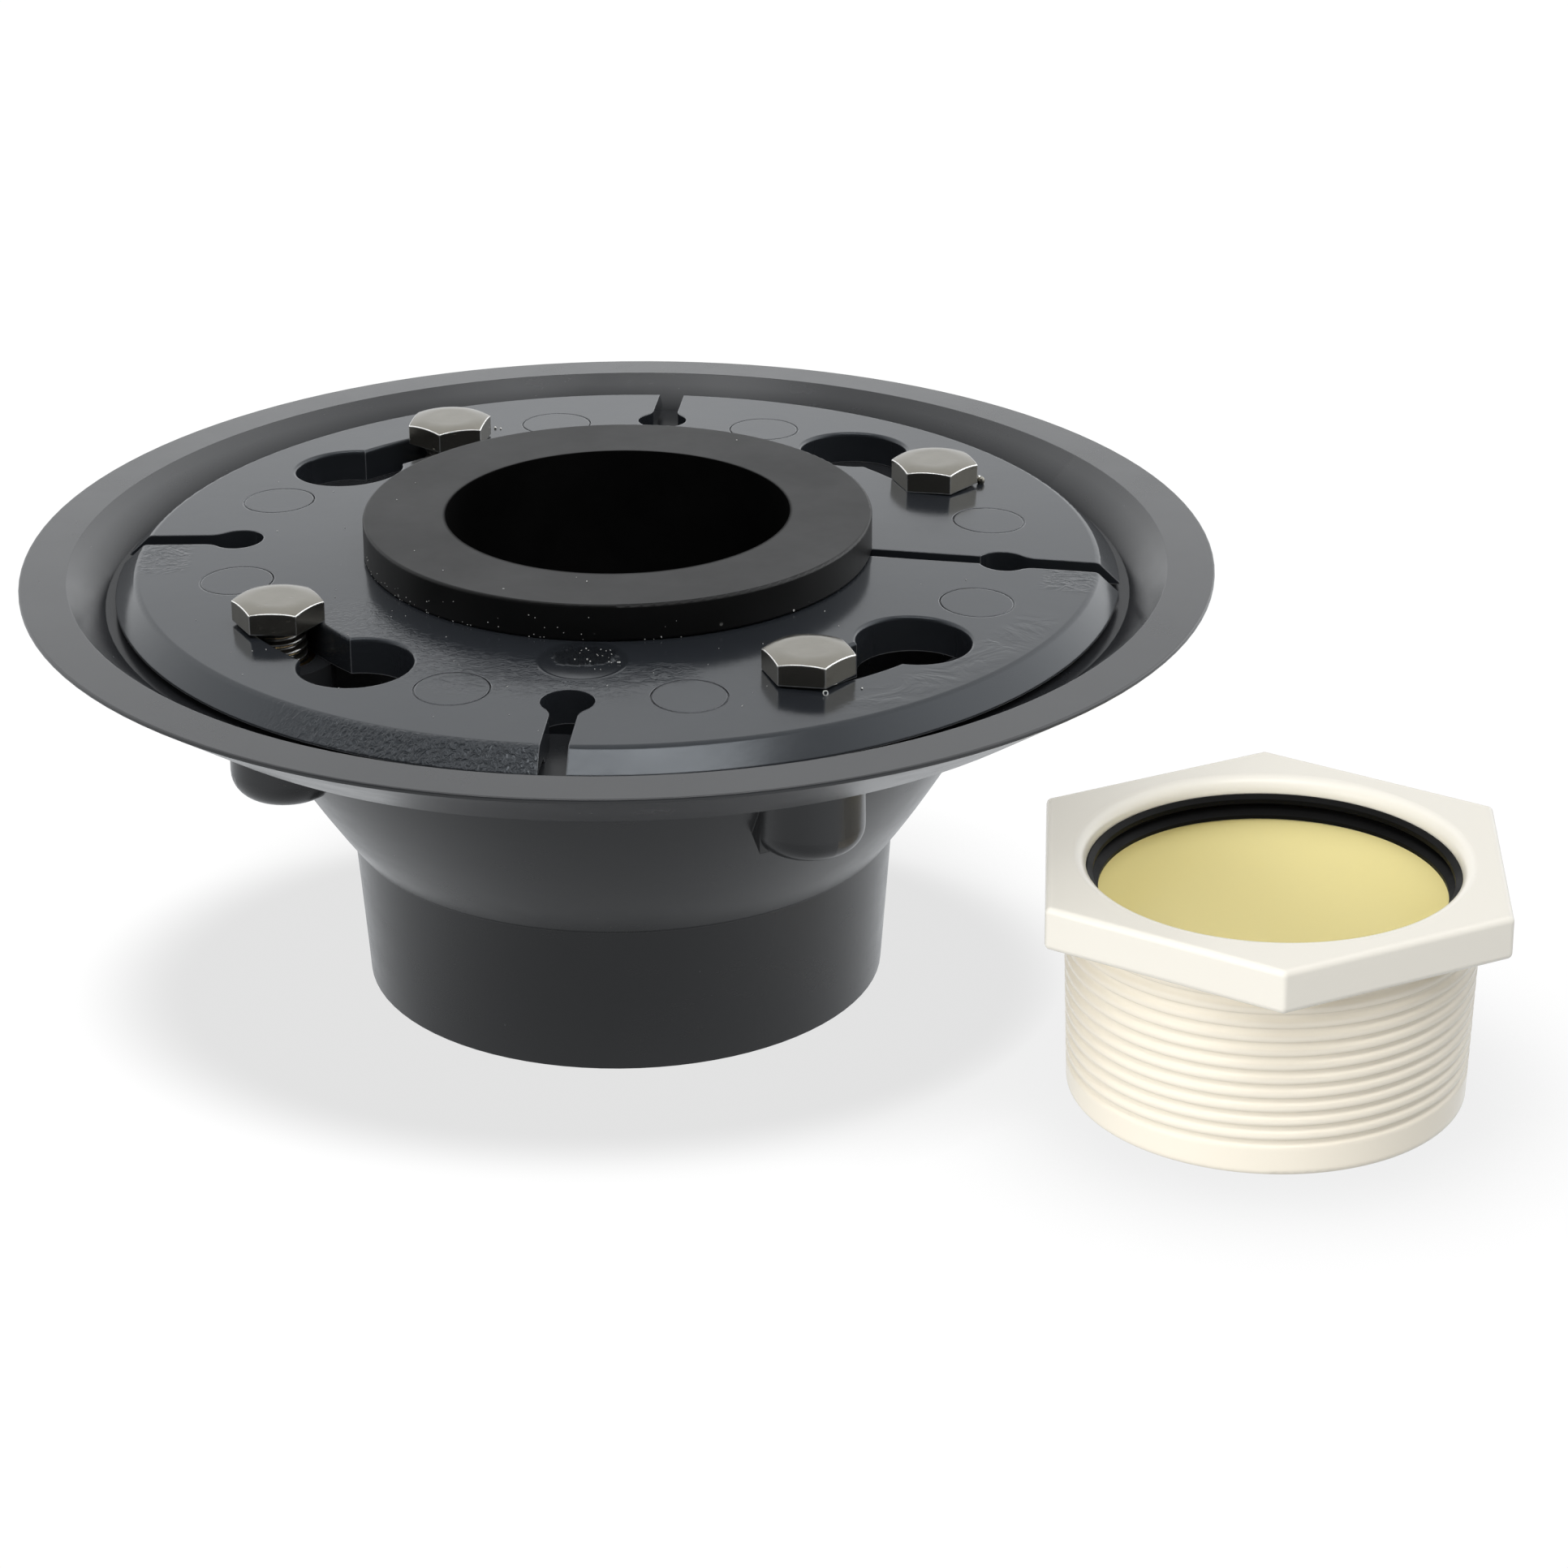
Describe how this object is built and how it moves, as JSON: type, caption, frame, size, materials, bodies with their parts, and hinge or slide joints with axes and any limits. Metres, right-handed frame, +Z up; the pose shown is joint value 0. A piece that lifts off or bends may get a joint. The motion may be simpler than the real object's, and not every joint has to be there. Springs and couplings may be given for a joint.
{
  "type": "shower drain base kit",
  "caption": "Two-part shower drain: a rimmed bowl with a hub, a bolted clamping collar with keyholes, a rubber throat ring, and a loose hex adapter.",
  "frame": {"origin": "on the drain axis at the bottom face of the hub, the plane the loose adapter also stands on", "axes": "+Z up along the drain axis, +X to the right towards the adapter's side, +Y away from the front"},
  "size_m": [0.2152, 0.1758, 0.0723],
  "materials": {
    "base_pvc": "satin moulded, dark slate grey",
    "collar_pvc": "satin moulded, slate grey with a bluish sheen",
    "ring_rubber": "matte black, dusty",
    "bolt_steel": "satin stainless",
    "insert_brass": "turned",
    "adapter_plastic": "glossy cream",
    "seal_rubber": "smooth black"
  },
  "bodies": {
    "base": {"drain_base": "base_pvc", "bolt_insert_front_left": "insert_brass", "bolt_insert_front_right": "insert_brass", "bolt_insert_back_right": "insert_brass", "bolt_insert_back_left": "insert_brass"},
    "collar": {"clamping_collar": "collar_pvc"},
    "ring": {"throat_ring": "ring_rubber"},
    "bolt_front_left": {"clamp_bolt_front_left": "bolt_steel"},
    "bolt_front_right": {"clamp_bolt_front_right": "bolt_steel"},
    "bolt_back_right": {"clamp_bolt_back_right": "bolt_steel"},
    "bolt_back_left": {"clamp_bolt_back_left": "bolt_steel"},
    "adapter": {"adapter_body": "adapter_plastic", "adapter_seal": "seal_rubber"}
  },
  "joints": [
    {"name": "collar_twist", "type": "hinge", "parent": "base", "child": "collar", "pos_m": [0, 0, 0.061], "axis": [0, 0, 1], "range_deg": [-20, 0]},
    {"name": "ring_pull", "type": "slide", "parent": "collar", "child": "ring", "axis": [0, 0, 1], "range_m": [0, 0.021]},
    {"name": "bolt_front_left_back_out", "type": "slide", "parent": "base", "child": "bolt_front_left", "axis": [0, 0, 1], "range_m": [0, 0.0134]},
    {"name": "bolt_front_right_back_out", "type": "slide", "parent": "base", "child": "bolt_front_right", "axis": [0, 0, 1], "range_m": [0, 0.0134]},
    {"name": "bolt_back_right_back_out", "type": "slide", "parent": "base", "child": "bolt_back_right", "axis": [0, 0, 1], "range_m": [0, 0.0134]},
    {"name": "bolt_back_left_back_out", "type": "slide", "parent": "base", "child": "bolt_back_left", "axis": [0, 0, 1], "range_m": [0, 0.0134]},
    {"name": "adapter_slide", "type": "slide", "parent": "base", "child": "adapter", "axis": [0.907, -0.4211, 0], "range_m": [0, 0.05]}
  ]
}
